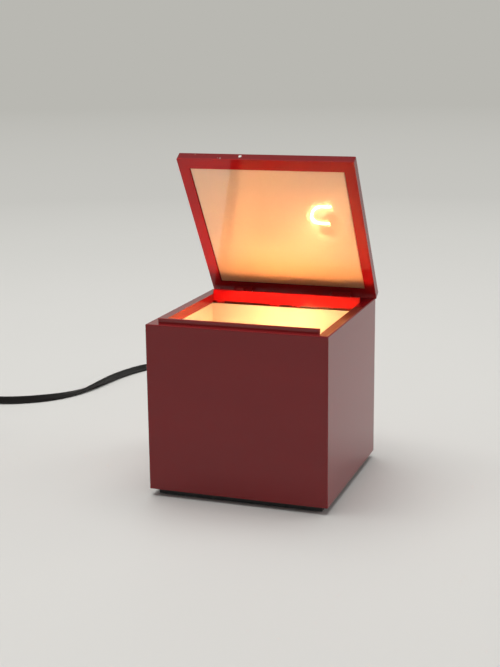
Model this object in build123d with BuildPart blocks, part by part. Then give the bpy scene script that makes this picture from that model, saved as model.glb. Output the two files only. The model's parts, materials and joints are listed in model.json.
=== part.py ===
"""A small lidded cube table lamp, shown with its lid open.

Millimetres, +Z up, X to the right along the front and +Y to the back. The origin is on the
table, at the middle of the base. The lid is drawn at its open rest angle.
"""

from build123d import *
import math
import os

# The cube
cube_w = 100.0
cube_d = 100.0
shell_h = 91.3
edge_round = 0.6
wall = 3.2
side_rim = 5.6
front_rim = 4.4
back_rim = 5.6
rim_depth = 5.0
hinge_block_depth = 12.0
fit_gap = 0.2
touch_gap = 0.1

# The black base
plinth_h = 4.0
plinth_inset = 4.0
base_step_h = 2.0
foot_inset = 15.0
foot_round = 4.0
foot_h = 1.5
foot_proud = 0.5

# Screws
screw_r = 1.4
screw_clearance = 0.05
screw_head_r = 2.5
screw_head_h = 1.8
screw_length = 14.0
boss_r = 5.6
boss_inset = 5.3
rear_boss_gap = 8.0
counterbore_depth = 2.6

# The inner walls that stand above the rim
proud = 2.7
strip_t = 1.4
strip_round = 0.3
rear_wall_t = 1.4
rear_wall_y = 36.0
rim_side_gap = 0.2

# The white reflector
liner_t = 1.0
liner_below_rim = 0.3
liner_floor_t = 1.2
cavity_depth = 39.4
vent_size = 2.4
vent_pitch_x = 5.4
vent_pitch_y = 5.54
vent_columns = 10
vent_rows = 11
vent_clear = 12.5

# The lid
lid_open = 56.8
lid_l = 99.6
lid_t = 4.9
lid_rest_gap = 0.1
lid_side_border = 6.3
lid_front_border = 7.1
lid_rear_border = 7.3
panel_t = 2.0
panel_recess = 0.5
panel_gap = 0.3
panel_chamfer = 0.3

# The hinge
hinge_from_back = 2.2
hinge_below_rim = 1.4
pin_r = 0.9
pin_fit = 0.04
pin_length = 20.0
lug_x = 30.0
lug_w = 11.0
lug_r = 2.1
slot_w = 12.0
slot_floor_below_axis = 3.9
washer_r = 1.9
washer_t = 0.4
tail_reach = 5.0
tail_r = 1.2
tail_w = 4.0
tail_drop = 20.0
tail_root_share = 0.4

# The lid-operated switch
switch_l = 20.0
switch_h = 10.8
switch_back_gap = 1.8
plunger_r = 1.0
plunger_fit = 0.05
plunger_travel = 1.5
plunger_below_tail = 0.2
plunger_length = 16.3
plunger_round = 0.4
switch_top_below_block = 0.5
switch_screw_pitch = 12.0
switch_screw_r = 1.0
switch_screw_head_r = 1.8
switch_screw_head_h = 1.0
blade_w = 3.0
blade_t = 0.8
blade_l = 4.0
blade_x = 3.0
blade_from_wall = 4.0
cover_t = 1.4
cover_below_slot = 0.6

# The lamp
lamp_x = 5.3
lamp_r = 13.5
glass_t = 0.7
lamp_top_above_floor = 35.1
neck_r = 6.3
neck_top_above_floor = 1.0
shoulder_above_floor = 11.5
neck_in_cap = 6.0
cap_r = 6.9
cap_t = 0.5
cap_top_above_floor = 0.2
cap_h = 18.0
cap_insulator_h = 2.5
cap_insulator_taper = 30
cap_tip_r = 2.5
cap_tip_h = 1.5
filament_above_floor = 27.1
filament_r = 5.2
filament_arm = 6.5
filament_wire_r = 0.5
stem_r = 2.0
stem_foot_r = 5.4
stem_foot_h = 3.0
stem_top_above_floor = 17.0
lead_r = 0.25

# The lampholder
holder_r = 11.0
holder_gap = 0.2
holder_above_floor = 2.6
holder_below_floor = 36.9
sleeve_t = 0.5
sleeve_gap = 0.15
sleeve_below_cap = 1.5
sleeve_below_top = 1.0
bore_gap = 0.05
ring_r = 12.8
ring_h = 2.1
ring_round = 0.6
contact_r = 6.0
contact_t = 2.4
contact_gap = 0.05
spigot_r = 5.0
spigot_l = 5.0
nut_across = 14.0
nut_h = 2.4
bracket_w = 16.0
bracket_t = 1.2
bracket_half_top = 14.0
bracket_foot = 8.0

# The cord, its entry and the wiring
flex_r = 2.5
flex_x = -10.0
flex_z = 13.0
cord_bend_share = 0.45
relief_r = 4.6
relief_tip_r = 3.4
relief_l = 22.0
relief_flange_r = 7.0
relief_flange_t = 2.0
relief_inner_r = 6.0
relief_inner_t = 2.0
cord_gate_gap = 6.5
clamp_y = 30.0
clamp_w = 6.0
clamp_half_l = 12.0
clamp_post_r = 3.0
clamp_post_x = 9.0
clamp_saddle_half = 4.5
clamp_bar_t = 2.0
inner_flex_end_y = 24.0
block_l = 24.0
block_w = 16.0
block_h = 14.0
block_offset = 13.0
block_y = 10.0
block_pitch = 5.0
block_screw_r = 1.8
block_screw_h = 1.0
block_screw_x = 3.0
block_round = 1.5
wire_r = 0.9
wire_bend = 3.0
wire_gate_z = 28.0
wire_gate_w = 12.0
wire_gate_h = 8.0
holder_wire_above_holder = 18.0
holder_wire_step = 3.0
holder_wire_ys = (3.0, 7.0)
holder_wire_inset = 4.0
switch_wire_back = 4.0

# The coil of unseen cord, its tie and the plug
coil_x = -262.0
coil_turn_r = 38.5
coil_pitch = 5.8
coil_half_turns = 7
coil_lift = 0.9
coil_same_bend = 12
tie_t = 0.7
tie_w = 6.0
tie_gap = 0.15
plug_lead = 22.0
plug_l = 34.0
plug_w = 36.0
plug_entry_w = 16.0
plug_pin_r = 2.0
plug_pin_l = 19.0
plug_pin_pitch = 18.6
plug_round = 2.0
plug_chamfer = 1.0
plug_pin_round = 0.8

# Places that follow from the sizes above
base_top = plinth_h + base_step_h
rim_z = plinth_h + shell_h
inner_w = cube_w - 2 * wall
inner_d = cube_d - 2 * wall
inner_x = inner_w / 2
inner_y = inner_d / 2
mouth_x = cube_w / 2 - side_rim
mouth_front = -cube_d / 2 + front_rim
mouth_back = cube_d / 2 - back_rim
proud_z = rim_z + proud
liner_rim_z = rim_z - rim_depth - liner_below_rim
floor_z = rim_z - rim_depth - cavity_depth
liner_bottom = floor_z - liner_floor_t
liner_front = mouth_front + strip_t - liner_t
liner_back = rear_wall_y - fit_gap
liner_half = mouth_x + liner_t
boss_x = inner_x - boss_inset
front_boss_y = -inner_y + boss_inset
rear_boss_y = rear_wall_y - rear_boss_gap
boss_points = [(x, y) for x in (-boss_x, boss_x) for y in (front_boss_y, rear_boss_y)]
hinge_y = cube_d / 2 - hinge_from_back
hinge_z = rim_z - hinge_below_rim
hinge_block_low = rim_z - hinge_block_depth
slot_floor = hinge_z - slot_floor_below_axis
lid_w_low = proud_z + lid_rest_gap - hinge_z
rear_wall_back = rear_wall_y + rear_wall_t
flex_start_y = cube_d / 2 + relief_flange_t + relief_l
cord_points = [
    (flex_x, flex_start_y, flex_z),
    (flex_x, 92, flex_z),
    (-12, 112, 8.2),
    (-18, 138, 3.1),
    (-34, 168, 2.6),
    (-59, 197, 2.6),
    (-92, 219, 2.6),
    (-124, 224, 2.6),
    (-148, 212, 2.6),
    (-162, 190, 2.6),
    (-169, 166, 2.6),
    (-172, 142, 2.6),
    (-177, 121, 2.6),
    (-185, 104, 2.6),
    (-196, 92, 2.6),
    (-209, 84, 2.6),
    (-224, 79, 2.9),
    (-241, 77, 3.4),
    (-257, 77, 3.4),
]
coil_z = flex_r + coil_lift
coil_y = cord_points[-1][1] - coil_turn_r
coil_top_z = coil_z + coil_pitch

# The lid's own directions: v runs to the hinge side and w away from the cavity
tilt = math.radians(lid_open)
lid_v = (0, math.cos(tilt), -math.sin(tilt))
lid_w = (0, math.sin(tilt), math.cos(tilt))
lid_plane = Plane(origin=(0, hinge_y, hinge_z), x_dir=(1, 0, 0), z_dir=lid_w)
lid_back_v = hinge_from_back
lid_front_v = lid_back_v - lid_l
tail_angle = math.radians(tail_drop)
tail_tip_v = -tail_reach * math.cos(tail_angle)
tail_tip_w = -tail_reach * math.sin(tail_angle)

pieces = {}


def cord_radii(points):
    """The corner radii that let a cord's bends run into each other."""
    corners = [Vector(*p) for p in points]
    radii = []
    for before, at, after in zip(corners, corners[1:], corners[2:]):
        turn = math.radians((at - before).get_angle(after - at))
        shorter = min((at - before).length, (after - at).length)
        radii.append(cord_bend_share * shorter / math.tan(turn / 2))
    return radii


def tube(points, radii, radius):
    """A round tube along straight runs joined by arcs."""
    with BuildPart() as made:
        with BuildLine() as path:
            FilletPolyline(*points, radius=radii)
        with BuildSketch(Plane(origin=path.line @ 0, z_dir=path.line % 0)):
            Circle(radius)
        sweep()
    return made


# Body shell: four walls, a thicker rim, a hinge block along the back and four screw bosses
with BuildPart() as body_shell:
    with BuildSketch(Plane.XY.offset(plinth_h)):
        Rectangle(cube_w, cube_d)
    extrude(amount=shell_h)
    fillet(body_shell.edges().filter_by(Axis.Z), edge_round)
    fillet(body_shell.faces().sort_by(Axis.Z)[-1].edges(), edge_round)
    with BuildSketch(Plane.XY.offset(plinth_h)):
        Rectangle(inner_w, inner_d)
    extrude(amount=shell_h - rim_depth, mode=Mode.SUBTRACT)
    with BuildSketch(Plane.XY.offset(rim_z)):
        with Locations((0, (mouth_front + mouth_back) / 2)):
            Rectangle(2 * mouth_x, mouth_back - mouth_front)
    extrude(amount=-rim_depth, mode=Mode.SUBTRACT)
    with BuildSketch(Plane.XY.offset(hinge_block_low)):
        with Locations((0, (mouth_back + inner_y) / 2)):
            Rectangle(inner_w, inner_y - mouth_back)
    extrude(amount=hinge_block_depth - rim_depth)
    with BuildSketch(Plane.XY.offset(base_top)):
        with Locations(*boss_points):
            Circle(boss_r)
    extrude(amount=liner_bottom - base_top)
    with BuildSketch(Plane.XY.offset(base_top)):
        with Locations(*boss_points):
            Circle(screw_r + screw_clearance)
    extrude(amount=screw_length, mode=Mode.SUBTRACT)
    with BuildSketch(Plane.XY.offset(slot_floor)):
        with Locations((-lug_x, mouth_back), (lug_x, mouth_back)):
            Rectangle(slot_w, cube_d, align=(Align.CENTER, Align.MIN))
    extrude(amount=shell_h, mode=Mode.SUBTRACT)
    for side in (-lug_x, lug_x):
        with BuildSketch(Plane.YZ.offset(side)):
            with Locations((hinge_y, hinge_z)):
                Circle(pin_r + pin_fit)
        extrude(amount=pin_length / 2 + touch_gap, both=True, mode=Mode.SUBTRACT)
    with BuildSketch(Plane.XZ.offset(-inner_y + wall)):
        with Locations((flex_x, flex_z)):
            Circle(relief_r + touch_gap)
    extrude(amount=-3 * wall, mode=Mode.SUBTRACT)
pieces["body_shell"] = body_shell

# Base plate: the black plinth, with a step that goes up inside the shell
clamp_posts = [(flex_x - clamp_post_x, clamp_y), (flex_x + clamp_post_x, clamp_y)]
bracket_screws = [
    (lamp_x - bracket_half_top - bracket_foot / 2, 0),
    (lamp_x + bracket_half_top + bracket_foot / 2, 0),
]
foot_w = cube_w - 2 * foot_inset
foot_d = cube_d - 2 * foot_inset
clamp_under = flex_z - flex_r - touch_gap
clamp_over = flex_z + flex_r + touch_gap
with BuildPart() as base_plate:
    with BuildSketch(Plane.XY.offset(foot_proud)):
        Rectangle(cube_w - 2 * plinth_inset, cube_d - 2 * plinth_inset)
    extrude(amount=plinth_h - foot_proud)
    with BuildSketch(Plane.XY.offset(plinth_h)):
        Rectangle(inner_w - 2 * fit_gap, inner_d - 2 * fit_gap)
    extrude(amount=base_step_h)
    with BuildSketch(Plane.XY.offset(base_top)):
        with Locations((flex_x, clamp_y)):
            Rectangle(2 * clamp_saddle_half, clamp_w)
    extrude(amount=clamp_under - base_top)
    with BuildSketch(Plane.XY.offset(base_top)):
        with Locations(*clamp_posts):
            Circle(clamp_post_r)
    extrude(amount=clamp_over - base_top)
    with BuildSketch(Plane.XY.offset(clamp_over)):
        with Locations(*clamp_posts):
            Circle(screw_r + screw_clearance)
    extrude(amount=-clamp_over + base_top, mode=Mode.SUBTRACT)
    with BuildSketch(Plane.XY.offset(base_top)):
        with Locations(*bracket_screws):
            Circle(screw_r + screw_clearance)
    extrude(amount=-base_step_h, mode=Mode.SUBTRACT)
    with BuildSketch(Plane.XY.offset(base_top)):
        with Locations(*boss_points):
            Circle(screw_r + screw_clearance)
    extrude(amount=-base_top, mode=Mode.SUBTRACT)
    with BuildSketch(Plane.XY.offset(foot_proud)):
        with Locations(*boss_points):
            Circle(screw_head_r + touch_gap)
    extrude(amount=counterbore_depth, mode=Mode.SUBTRACT)
    with BuildSketch(Plane.XY.offset(foot_proud)):
        RectangleRounded(foot_w + 2 * touch_gap, foot_d + 2 * touch_gap, foot_round + touch_gap)
    extrude(amount=foot_h - foot_proud, mode=Mode.SUBTRACT)
pieces["base_plate"] = base_plate

with BuildPart() as rubber_foot:
    with BuildSketch():
        RectangleRounded(foot_w, foot_d, foot_round)
    extrude(amount=foot_h)
pieces["rubber_foot"] = rubber_foot

# Base screws come up through the plinth into the shell's bosses
head_seat = foot_proud + counterbore_depth
with BuildPart() as base_screws:
    with BuildSketch(Plane.XY.offset(head_seat)):
        with Locations(*boss_points):
            Circle(screw_head_r)
    extrude(amount=-screw_head_h)
    with BuildSketch(Plane.XY.offset(head_seat)):
        with Locations(*boss_points):
            Circle(screw_r)
    extrude(amount=screw_length)
pieces["base_screws"] = base_screws

# Front strip and rear wall: the two bright inner edges that the closed lid lies just above
with BuildPart() as front_strip:
    with BuildSketch(Plane.XY.offset(rim_z - rim_depth)):
        with Locations((0, mouth_front + strip_t / 2)):
            Rectangle(2 * (mouth_x - rim_side_gap), strip_t)
    extrude(amount=proud_z - rim_z + rim_depth)
    fillet(front_strip.edges().filter_by(Axis.X).group_by(Axis.Z)[-1], strip_round)
pieces["front_strip"] = front_strip

switch_z_top = hinge_block_low - switch_top_below_block
switch_z = switch_z_top - switch_h / 2
switch_screw_xs = (-lug_x - switch_screw_pitch / 2, -lug_x + switch_screw_pitch / 2)
with BuildPart() as rear_wall:
    with BuildSketch(Plane.XY.offset(base_top)):
        with Locations((0, rear_wall_y + rear_wall_t / 2)):
            Rectangle(inner_w - 2 * fit_gap, rear_wall_t)
    extrude(amount=rim_z - rim_depth - fit_gap - base_top)
    with BuildSketch(Plane.XY.offset(base_top)):
        with Locations((0, rear_wall_y + rear_wall_t / 2)):
            Rectangle(2 * (mouth_x - rim_side_gap), rear_wall_t)
    extrude(amount=proud_z - base_top)
    fillet(rear_wall.edges().filter_by(Axis.X).group_by(Axis.Z)[-1], strip_round)
    with BuildSketch(Plane.XZ.offset(-rear_wall_y)):
        with Locations((flex_x, base_top)):
            Rectangle(
                2 * (flex_r + cord_gate_gap),
                flex_z + flex_r + cord_gate_gap - base_top,
                align=(Align.CENTER, Align.MIN),
            )
        with Locations((-lug_x, wire_gate_z)):
            Rectangle(wire_gate_w, wire_gate_h)
        with Locations(*[(x, switch_z) for x in switch_screw_xs]):
            Circle(switch_screw_r + screw_clearance)
    extrude(amount=-rear_wall_t, mode=Mode.SUBTRACT)
pieces["rear_wall"] = rear_wall

# Reflector: an open white box with a grid of square air holes round the lampholder
vents = [
    (column * vent_pitch_x, row * vent_pitch_y)
    for column in [i - (vent_columns - 1) / 2 for i in range(vent_columns)]
    for row in [j - (vent_rows - 1) / 2 for j in range(vent_rows)]
    if math.hypot(
        max(0, abs(column * vent_pitch_x - lamp_x) - vent_size / 2),
        max(0, abs(row * vent_pitch_y) - vent_size / 2),
    )
    > vent_clear
]
with BuildPart() as reflector_liner:
    with BuildSketch(Plane.XY.offset(liner_bottom)):
        with Locations((0, (liner_front + liner_back) / 2)):
            Rectangle(2 * liner_half, liner_back - liner_front)
    extrude(amount=liner_rim_z - liner_bottom)
    with BuildSketch(Plane.XY.offset(floor_z)):
        with Locations((0, (liner_front + liner_back) / 2)):
            Rectangle(2 * liner_half - 2 * liner_t, liner_back - liner_front - 2 * liner_t)
    extrude(amount=cavity_depth, mode=Mode.SUBTRACT)
    with BuildSketch(Plane.XY.offset(liner_bottom)):
        with Locations(*vents):
            Rectangle(vent_size, vent_size)
        with Locations((lamp_x, 0)):
            Circle(holder_r + holder_gap)
    extrude(amount=liner_floor_t, mode=Mode.SUBTRACT)
pieces["reflector_liner"] = reflector_liner

# Lampholder: body, thread sleeve, centre contact, ring, nut and bracket
holder_bottom = floor_z - holder_below_floor
holder_top = floor_z + holder_above_floor
cap_top = floor_z + cap_top_above_floor
cap_bottom = cap_top - cap_h
tip_bottom = cap_bottom - cap_insulator_h - cap_tip_h
contact_top = tip_bottom - contact_gap
sleeve_bore = cap_r + sleeve_gap
sleeve_r = sleeve_bore + sleeve_t
sleeve_seat = cap_bottom - sleeve_below_cap
with BuildPart() as lampholder_body:
    with BuildSketch(Plane.XY.offset(holder_bottom)):
        with Locations((lamp_x, 0)):
            Circle(holder_r)
    extrude(amount=holder_top - holder_bottom)
    with BuildSketch(Plane.XY.offset(holder_bottom)):
        with Locations((lamp_x, 0)):
            Circle(spigot_r)
    extrude(amount=-spigot_l)
    with BuildSketch(Plane.XY.offset(sleeve_seat)):
        with Locations((lamp_x, 0)):
            Circle(sleeve_r + bore_gap)
    extrude(amount=holder_top - sleeve_seat, mode=Mode.SUBTRACT)
    with BuildSketch(Plane.XY.offset(contact_top - contact_t)):
        with Locations((lamp_x, 0)):
            Circle(sleeve_bore)
    extrude(amount=sleeve_seat - contact_top + contact_t, mode=Mode.SUBTRACT)
pieces["lampholder_body"] = lampholder_body

with BuildPart() as lampholder_sleeve:
    with BuildSketch(Plane.XY.offset(sleeve_seat)):
        with Locations((lamp_x, 0)):
            Circle(sleeve_r)
            Circle(sleeve_bore, mode=Mode.SUBTRACT)
    extrude(amount=holder_top - sleeve_seat - sleeve_below_top)
pieces["lampholder_sleeve"] = lampholder_sleeve

with BuildPart() as lampholder_contact:
    with BuildSketch(Plane.XY.offset(contact_top)):
        with Locations((lamp_x, 0)):
            Circle(contact_r)
    extrude(amount=-contact_t)
pieces["lampholder_contact"] = lampholder_contact

with BuildPart() as lampholder_ring:
    with BuildSketch(Plane.XY.offset(floor_z)):
        with Locations((lamp_x, 0)):
            Circle(ring_r)
            Circle(holder_r + bore_gap, mode=Mode.SUBTRACT)
    extrude(amount=ring_h)
    fillet(lampholder_ring.edges().group_by(Axis.Z)[-1].sort_by(SortBy.RADIUS)[-1], ring_round)
pieces["lampholder_ring"] = lampholder_ring

bracket_inner = bracket_half_top - bracket_t
with BuildPart() as lampholder_bracket:
    with BuildSketch(Plane.XZ):
        with BuildLine():
            Polyline(
                (lamp_x - bracket_half_top - bracket_foot, base_top),
                (lamp_x - bracket_inner, base_top),
                (lamp_x - bracket_inner, holder_bottom - bracket_t),
                (lamp_x + bracket_inner, holder_bottom - bracket_t),
                (lamp_x + bracket_inner, base_top),
                (lamp_x + bracket_half_top + bracket_foot, base_top),
                (lamp_x + bracket_half_top + bracket_foot, base_top + bracket_t),
                (lamp_x + bracket_half_top, base_top + bracket_t),
                (lamp_x + bracket_half_top, holder_bottom),
                (lamp_x - bracket_half_top, holder_bottom),
                (lamp_x - bracket_half_top, base_top + bracket_t),
                (lamp_x - bracket_half_top - bracket_foot, base_top + bracket_t),
                close=True,
            )
        make_face()
    extrude(amount=bracket_w / 2, both=True)
    with BuildSketch(Plane.XY.offset(holder_bottom)):
        with Locations((lamp_x, 0)):
            Circle(spigot_r + touch_gap)
    extrude(amount=-bracket_t, mode=Mode.SUBTRACT)
    with BuildSketch(Plane.XY.offset(base_top)):
        with Locations(*bracket_screws):
            Circle(screw_r + screw_clearance)
    extrude(amount=bracket_t, mode=Mode.SUBTRACT)
pieces["lampholder_bracket"] = lampholder_bracket

with BuildPart() as lampholder_nut:
    with BuildSketch(Plane.XY.offset(holder_bottom - bracket_t)):
        with Locations((lamp_x, 0)):
            RegularPolygon(nut_across / 2, 6, major_radius=False)
            Circle(spigot_r + screw_clearance, mode=Mode.SUBTRACT)
    extrude(amount=-nut_h)
pieces["lampholder_nut"] = lampholder_nut

with BuildPart() as bracket_screw_pair:
    with BuildSketch(Plane.XY.offset(base_top + bracket_t)):
        with Locations(*bracket_screws):
            Circle(screw_head_r)
    extrude(amount=screw_head_h)
    with BuildSketch(Plane.XY.offset(base_top + bracket_t)):
        with Locations(*bracket_screws):
            Circle(screw_r)
    extrude(amount=-bracket_t - base_step_h)
pieces["bracket_screws"] = bracket_screw_pair

# Lamp: clear glass, screw cap, insulator with its tip, stem, leads and a C-shaped filament
lamp_plane = Plane(origin=(lamp_x, 0, 0), x_dir=(1, 0, 0), z_dir=(0, -1, 0))
glass_low = cap_top - neck_in_cap
neck_top = floor_z + neck_top_above_floor
shoulder_z = floor_z + shoulder_above_floor
lamp_top = floor_z + lamp_top_above_floor
dome_z = lamp_top - lamp_r


def glass_outline(inset):
    """Half the bulb's outline, drawn in from its outer face by inset."""
    neck = neck_r - inset
    body = lamp_r - inset
    with BuildLine() as outline:
        up_neck = Line((neck, glass_low), (neck, neck_top))
        flare = Spline(
            up_neck @ 1,
            (body, shoulder_z),
            tangents=((0, 1), (0, 1)),
            tangent_scalars=(1.2, 1.0),
        )
        side = Line(flare @ 1, (body, dome_z))
        RadiusArc(side @ 1, (0, dome_z + body), -body)
    return outline.line


with BuildPart() as lamp_glass:
    with BuildSketch(lamp_plane):
        with BuildLine():
            add(glass_outline(0))
            Line((0, lamp_top), (0, glass_low))
            Line((0, glass_low), (neck_r, glass_low))
        make_face()
    revolve(axis=Axis((lamp_x, 0, 0), (0, 0, 1)))
    with BuildSketch(lamp_plane):
        with BuildLine():
            add(glass_outline(glass_t))
            Line((0, lamp_top - glass_t), (0, glass_low))
            Line((0, glass_low), (neck_r - glass_t, glass_low))
        make_face()
    revolve(axis=Axis((lamp_x, 0, 0), (0, 0, 1)), mode=Mode.SUBTRACT)
pieces["lamp_glass"] = lamp_glass

with BuildPart() as lamp_cap:
    with BuildSketch(Plane.XY.offset(cap_bottom)):
        with Locations((lamp_x, 0)):
            Circle(cap_r)
    extrude(amount=cap_h)
    with BuildSketch(Plane.XY.offset(cap_bottom + cap_t)):
        with Locations((lamp_x, 0)):
            Circle(neck_r + touch_gap)
    extrude(amount=cap_h - cap_t, mode=Mode.SUBTRACT)
pieces["lamp_cap"] = lamp_cap

with BuildPart() as lamp_cap_insulator:
    with BuildSketch(Plane.XY.offset(cap_bottom)):
        with Locations((lamp_x, 0)):
            Circle(cap_r - cap_t)
    extrude(amount=-cap_insulator_h, taper=cap_insulator_taper)
pieces["lamp_cap_insulator"] = lamp_cap_insulator

with BuildPart() as lamp_cap_tip:
    with BuildSketch(Plane.XY.offset(cap_bottom - cap_insulator_h)):
        with Locations((lamp_x, 0)):
            Circle(cap_tip_r)
    extrude(amount=-cap_tip_h)
pieces["lamp_cap_tip"] = lamp_cap_tip

stem_top = floor_z + stem_top_above_floor
with BuildPart() as lamp_stem:
    with BuildSketch(Plane.XY.offset(glass_low)):
        with Locations((lamp_x, 0)):
            Circle(stem_foot_r)
    extrude(amount=stem_foot_h)
    with BuildSketch(Plane.XY.offset(glass_low)):
        with Locations((lamp_x, 0)):
            Circle(stem_r)
    extrude(amount=stem_top - glass_low)
pieces["lamp_stem"] = lamp_stem

filament_z = floor_z + filament_above_floor
with BuildPart() as lamp_filament:
    with BuildLine() as filament_line:
        near_arm = Line(
            (lamp_x + filament_arm, -filament_r, filament_z),
            (lamp_x, -filament_r, filament_z),
        )
        bend = ThreePointArc(
            near_arm @ 1,
            (lamp_x - filament_r, 0, filament_z),
            (lamp_x, filament_r, filament_z),
        )
        Line(bend @ 1, (lamp_x + filament_arm, filament_r, filament_z))
    with BuildSketch(Plane(origin=filament_line.line @ 0, z_dir=filament_line.line % 0)):
        Circle(filament_wire_r)
    sweep()
pieces["lamp_filament"] = lamp_filament

lead_top = filament_z - filament_wire_r - touch_gap
lead_foot = stem_r - 2 * lead_r
lead_ends = [
    ((lead_foot, -lead_foot / 2), (filament_arm - lead_r, -filament_r)),
    ((lead_foot, lead_foot / 2), (filament_arm - lead_r, filament_r)),
    ((-lead_foot, 0), (-filament_r, 0)),
]
with BuildPart() as filament_leads:
    for foot, head in lead_ends:
        low = Vector(lamp_x + foot[0], foot[1], stem_top + lead_r)
        high = Vector(lamp_x + head[0], head[1], lead_top)
        with BuildSketch(Plane(origin=low, z_dir=high - low)):
            Circle(lead_r)
        extrude(amount=(high - low).length)
pieces["filament_leads"] = filament_leads

# Lid frame: a flat slab with a pocket for the panel and two hinge lugs
panel_w = cube_w - 2 * lid_side_border
panel_l = lid_l - lid_front_border - lid_rear_border
panel_v = (lid_front_v + lid_front_border + lid_back_v - lid_rear_border) / 2
pocket_top = lid_w_low + panel_recess + panel_t
with BuildPart() as lid_frame:
    with BuildSketch(lid_plane.offset(lid_w_low)):
        with Locations((0, (lid_front_v + lid_back_v) / 2)):
            Rectangle(cube_w, lid_l)
    extrude(amount=lid_t)
    fillet(lid_frame.edges().filter_by(Axis((0, 0, 0), lid_w)), edge_round)
    with BuildSketch(lid_plane.offset(lid_w_low)):
        with Locations((0, panel_v)):
            Rectangle(panel_w + 2 * panel_gap, panel_l + 2 * panel_gap)
    extrude(amount=pocket_top - lid_w_low, mode=Mode.SUBTRACT)
    for side in (-lug_x, lug_x):
        lug_plane = Plane(origin=(side, hinge_y, hinge_z), x_dir=lid_v, z_dir=(1, 0, 0))
        with BuildSketch(lug_plane):
            Circle(lug_r)
            with Locations((0, lid_w_low / 2)):
                Rectangle(2 * lug_r, lid_w_low)
        extrude(amount=lug_w / 2, both=True)
        with BuildSketch(lug_plane):
            Circle(pin_r + pin_fit)
        extrude(amount=lug_w, both=True, mode=Mode.SUBTRACT)
    tail_plane = Plane(origin=(-lug_x, hinge_y, hinge_z), x_dir=lid_v, z_dir=(1, 0, 0))
    with BuildSketch(tail_plane):
        with Locations((tail_tip_v, tail_tip_w)):
            Circle(tail_r)
        with Locations((tail_tip_v * (1 + tail_root_share) / 2, tail_tip_w * (1 + tail_root_share) / 2)):
            Rectangle(tail_reach * (1 - tail_root_share), 2 * tail_r, rotation=tail_drop)
    extrude(amount=tail_w / 2, both=True)
pieces["lid_frame"] = lid_frame

with BuildPart() as lid_panel:
    with BuildSketch(lid_plane.offset(lid_w_low + panel_recess)):
        with Locations((0, panel_v)):
            Rectangle(panel_w, panel_l)
    extrude(amount=panel_t)
    chamfer(lid_panel.faces().sort_by(Axis((0, 0, 0), lid_w))[0].edges(), panel_chamfer)
pieces["lid_panel"] = lid_panel

# Hinge pins and friction washers
with BuildPart() as hinge_pins:
    for side in (-lug_x, lug_x):
        with BuildSketch(Plane.YZ.offset(side)):
            with Locations((hinge_y, hinge_z)):
                Circle(pin_r)
        extrude(amount=pin_length / 2, both=True)
pieces["hinge_pins"] = hinge_pins

washer_start = (lug_w + slot_w) / 4 - washer_t / 2
with BuildPart() as friction_washers:
    for side in (-lug_x, lug_x):
        for way in (-1, 1):
            with BuildSketch(Plane.YZ.offset(side + way * washer_start)):
                with Locations((hinge_y, hinge_z)):
                    Circle(washer_r)
                    Circle(pin_r + pin_fit, mode=Mode.SUBTRACT)
            extrude(amount=way * washer_t)
pieces["friction_washers"] = friction_washers

# Lid switch: body on the rear wall, plunger under the lug's tail, terminals and screws
plunger_y = hinge_y + tail_tip_v
tail_low_closed = hinge_z + tail_tip_w - tail_r
plunger_top = tail_low_closed - plunger_below_tail + plunger_travel
plunger_low = plunger_top - plunger_length
switch_back = inner_y - switch_back_gap
switch_low = switch_z_top - switch_h
blade_y = rear_wall_back + blade_from_wall
with BuildPart() as switch_body:
    with BuildSketch(Plane.XY.offset(switch_low)):
        with Locations((-lug_x, (rear_wall_back + switch_back) / 2)):
            Rectangle(switch_l, switch_back - rear_wall_back)
    extrude(amount=switch_h)
    with BuildSketch(Plane.XY.offset(switch_z_top)):
        with Locations((-lug_x, plunger_y)):
            Circle(plunger_r + plunger_fit)
    extrude(amount=-(switch_z_top - plunger_low + plunger_travel + touch_gap), mode=Mode.SUBTRACT)
    with BuildSketch(Plane.XZ.offset(-switch_back)):
        with Locations(*[(x, switch_z) for x in switch_screw_xs]):
            Circle(switch_screw_r + screw_clearance)
    extrude(amount=switch_back - rear_wall_back, mode=Mode.SUBTRACT)
pieces["switch_body"] = switch_body

with BuildPart() as switch_plunger:
    with BuildSketch(Plane.XY.offset(plunger_low)):
        with Locations((-lug_x, plunger_y)):
            Circle(plunger_r)
    extrude(amount=plunger_length)
    fillet(switch_plunger.edges().group_by(Axis.Z)[-1], plunger_round)
pieces["switch_plunger"] = switch_plunger

with BuildPart() as switch_terminals:
    with BuildSketch(Plane.XY.offset(switch_low)):
        with Locations((-lug_x - blade_x, blade_y), (-lug_x + blade_x, blade_y)):
            Rectangle(blade_w, blade_t)
    extrude(amount=-blade_l)
pieces["switch_terminals"] = switch_terminals

with BuildPart() as switch_screws:
    with BuildSketch(Plane.XZ.offset(-switch_back)):
        with Locations(*[(x, switch_z) for x in switch_screw_xs]):
            Circle(switch_screw_head_r)
    extrude(amount=-switch_screw_head_h)
    with BuildSketch(Plane.XZ.offset(-switch_back)):
        with Locations(*[(x, switch_z) for x in switch_screw_xs]):
            Circle(switch_screw_r)
    extrude(amount=switch_back - rear_wall_y - fit_gap)
pieces["switch_screws"] = switch_screws

# Cover strip over the rear compartment, under the lugs' slots
cover_top = slot_floor - cover_below_slot
with BuildPart() as compartment_cover:
    with BuildSketch(Plane.XY.offset(cover_top)):
        with Locations((0, (rear_wall_back + mouth_back) / 2)):
            Rectangle(2 * (mouth_x - rim_side_gap), mouth_back - rear_wall_back - 2 * touch_gap)
        with Locations((-lug_x, plunger_y)):
            Circle(plunger_r + 2 * touch_gap, mode=Mode.SUBTRACT)
    extrude(amount=-cover_t)
pieces["compartment_cover"] = compartment_cover

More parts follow.
